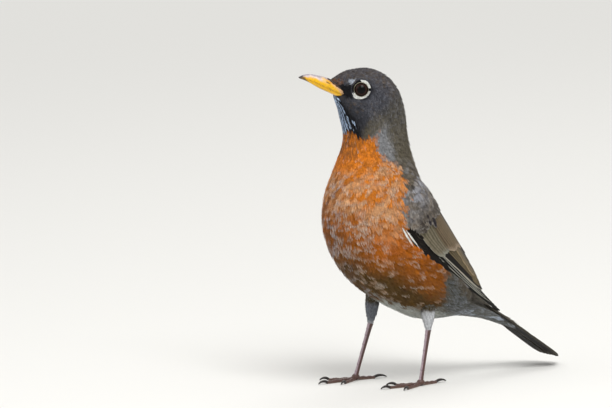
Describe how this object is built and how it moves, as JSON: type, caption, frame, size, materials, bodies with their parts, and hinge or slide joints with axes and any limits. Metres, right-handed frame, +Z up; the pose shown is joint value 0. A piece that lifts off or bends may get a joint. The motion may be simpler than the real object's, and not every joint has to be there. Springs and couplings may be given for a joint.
{
  "type": "american robin",
  "caption": "Life-size still model of an adult American robin standing upright on both feet, head turned to its right, wings folded.",
  "frame": {"origin": "on the floor, under the middle of the whole bird's box", "axes": "+Z up, the body faces -Y, its left side is +X"},
  "size_m": [0.067, 0.176, 0.1943],
  "materials": {
    "head_feathers": "short matt black-grey body feathers of the head and throat",
    "neck_feathers": "soft grey-brown feathers of the nape, rufous at the foreneck",
    "breast_feathers": "soft rufous-orange feathers with whitish fringes",
    "belly_feathers": "soft deep rufous feathers with grey-white fringes",
    "rump_feathers": "soft grey feathers of the rump and undertail",
    "thigh_feathers": "short grey-white feathers",
    "wing_coverts": "overlapping grey-brown vanes with paler edges",
    "secondaries": "smooth brown vanes with buff edges",
    "primaries": "smooth black-brown vanes with thin pale edges",
    "tail_feathers": "smooth black-brown vanes",
    "bill_horn": "satin yellow horn with a dusky ridge and tip",
    "eye_gloss": "wet, glossy dark brown",
    "leg_scales": "satin brown scaly skin",
    "claw_horn": "satin dark horn"
  },
  "bodies": {
    "root": {"head": "head_feathers", "neck": "neck_feathers", "breast": "breast_feathers", "belly": "belly_feathers", "rump": "rump_feathers", "upper_bill": "bill_horn", "lower_bill": "bill_horn", "tail": "tail_feathers", "eye_left": "eye_gloss", "wing_coverts_left": "wing_coverts", "wing_secondaries_left": "secondaries", "wing_primaries_left": "primaries", "thigh_left": "thigh_feathers", "shank_left": "leg_scales", "foot_left": "leg_scales", "claw_hind_left": "claw_horn", "claw_inner_left": "claw_horn", "claw_middle_left": "claw_horn", "claw_outer_left": "claw_horn", "eye_right": "eye_gloss", "wing_coverts_right": "wing_coverts", "wing_secondaries_right": "secondaries", "wing_primaries_right": "primaries", "thigh_right": "thigh_feathers", "shank_right": "leg_scales", "foot_right": "leg_scales", "claw_hind_right": "claw_horn", "claw_inner_right": "claw_horn", "claw_middle_right": "claw_horn", "claw_outer_right": "claw_horn"}
  },
  "joints": []
}
